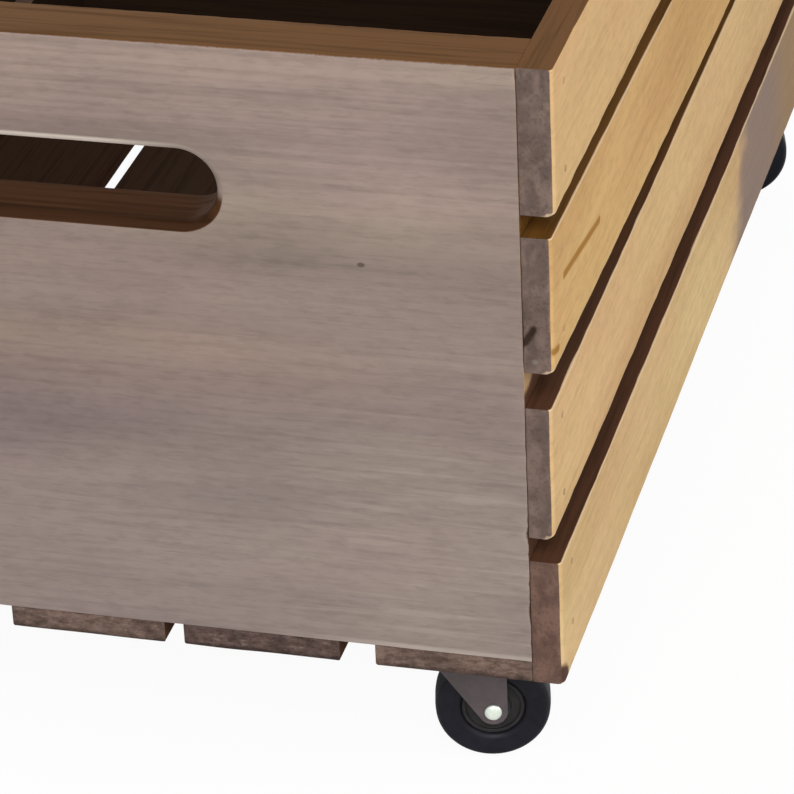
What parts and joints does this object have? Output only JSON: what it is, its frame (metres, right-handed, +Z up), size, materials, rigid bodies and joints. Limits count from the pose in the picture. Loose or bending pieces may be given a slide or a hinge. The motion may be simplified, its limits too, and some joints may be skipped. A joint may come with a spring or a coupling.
{
  "type": "storage crate on casters",
  "caption": "Open slatted wooden storage crate with solid end panels, oval hand holes and swivel casters under the corners.",
  "frame": {"origin": "on the floor, under the middle of the crate's box", "axes": "+Z up, +Y from the front end panel to the rear one, +X to the right seen from the front"},
  "size_m": [0.371, 0.54, 0.301],
  "materials": {
    "stained_board": "weathered grey-brown stain",
    "side_slat_wood": "rough-sawn, golden tan",
    "floor_slat_wood": "rough-sawn, grey-brown stain",
    "nail_steel": "dull",
    "caster_steel": "dark bronze",
    "zinc_steel": "zinc plated",
    "hub_plastic": "black",
    "tyre_rubber": "black"
  },
  "bodies": {
    "crate": {"front_end_panel": "stained_board", "rear_end_panel": "stained_board", "right_top_slat": "side_slat_wood", "right_upper_slat": "side_slat_wood", "right_lower_slat": "side_slat_wood", "right_base_slat": "side_slat_wood", "left_top_slat": "side_slat_wood", "left_upper_slat": "side_slat_wood", "left_lower_slat": "side_slat_wood", "left_base_slat": "side_slat_wood", "floor_slat_right_edge": "floor_slat_wood", "floor_slat_right": "floor_slat_wood", "floor_slat_centre": "floor_slat_wood", "floor_slat_left": "floor_slat_wood", "floor_slat_left_edge": "floor_slat_wood", "side_slat_nails": "nail_steel", "floor_slat_nails": "nail_steel", "caster_screws": "zinc_steel", "front_right_top_plate": "caster_steel", "front_right_kingpin": "zinc_steel", "front_left_top_plate": "caster_steel", "front_left_kingpin": "zinc_steel", "rear_right_top_plate": "caster_steel", "rear_right_kingpin": "zinc_steel", "rear_left_top_plate": "caster_steel", "rear_left_kingpin": "zinc_steel"},
    "front_right_swivel": {"front_right_fork": "caster_steel", "front_right_swivel_balls": "zinc_steel", "front_right_axle": "zinc_steel", "front_right_axle_nut": "zinc_steel"},
    "front_right_wheel": {"front_right_wheel_bush": "zinc_steel", "front_right_wheel_hub": "hub_plastic", "front_right_tyre": "tyre_rubber"},
    "front_left_swivel": {"front_left_fork": "caster_steel", "front_left_swivel_balls": "zinc_steel", "front_left_axle": "zinc_steel", "front_left_axle_nut": "zinc_steel"},
    "front_left_wheel": {"front_left_wheel_bush": "zinc_steel", "front_left_wheel_hub": "hub_plastic", "front_left_tyre": "tyre_rubber"},
    "rear_right_swivel": {"rear_right_fork": "caster_steel", "rear_right_swivel_balls": "zinc_steel", "rear_right_axle": "zinc_steel", "rear_right_axle_nut": "zinc_steel"},
    "rear_right_wheel": {"rear_right_wheel_bush": "zinc_steel", "rear_right_wheel_hub": "hub_plastic", "rear_right_tyre": "tyre_rubber"},
    "rear_left_swivel": {"rear_left_fork": "caster_steel", "rear_left_swivel_balls": "zinc_steel", "rear_left_axle": "zinc_steel", "rear_left_axle_nut": "zinc_steel"},
    "rear_left_wheel": {"rear_left_wheel_bush": "zinc_steel", "rear_left_wheel_hub": "hub_plastic", "rear_left_tyre": "tyre_rubber"}
  },
  "joints": [
    {"name": "front_right_swivel_turn", "type": "hinge", "parent": "crate", "child": "front_right_swivel", "pos_m": [0.1374, -0.2413, 0.05], "axis": [0, 0, 1], "continuous": true},
    {"name": "front_right_wheel_roll", "type": "hinge", "parent": "front_right_swivel", "child": "front_right_wheel", "pos_m": [0.14904, -0.2384, 0.022], "axis": [-0.2419, 0.9703, 0], "continuous": true},
    {"name": "front_left_swivel_turn", "type": "hinge", "parent": "crate", "child": "front_left_swivel", "pos_m": [-0.1374, -0.2413, 0.05], "axis": [0, 0, 1], "continuous": true},
    {"name": "front_left_wheel_roll", "type": "hinge", "parent": "front_left_swivel", "child": "front_left_wheel", "pos_m": [-0.12576, -0.2384, 0.022], "axis": [-0.2419, 0.9703, 0], "continuous": true},
    {"name": "rear_right_swivel_turn", "type": "hinge", "parent": "crate", "child": "rear_right_swivel", "pos_m": [0.1444, 0.2413, 0.05], "axis": [0, 0, 1], "continuous": true},
    {"name": "rear_right_wheel_roll", "type": "hinge", "parent": "rear_right_swivel", "child": "rear_right_wheel", "pos_m": [0.15604, 0.2442, 0.022], "axis": [-0.2419, 0.9703, 0], "continuous": true},
    {"name": "rear_left_swivel_turn", "type": "hinge", "parent": "crate", "child": "rear_left_swivel", "pos_m": [-0.1444, 0.2413, 0.05], "axis": [0, 0, 1], "continuous": true},
    {"name": "rear_left_wheel_roll", "type": "hinge", "parent": "rear_left_swivel", "child": "rear_left_wheel", "pos_m": [-0.13276, 0.2442, 0.022], "axis": [-0.2419, 0.9703, 0], "continuous": true}
  ]
}
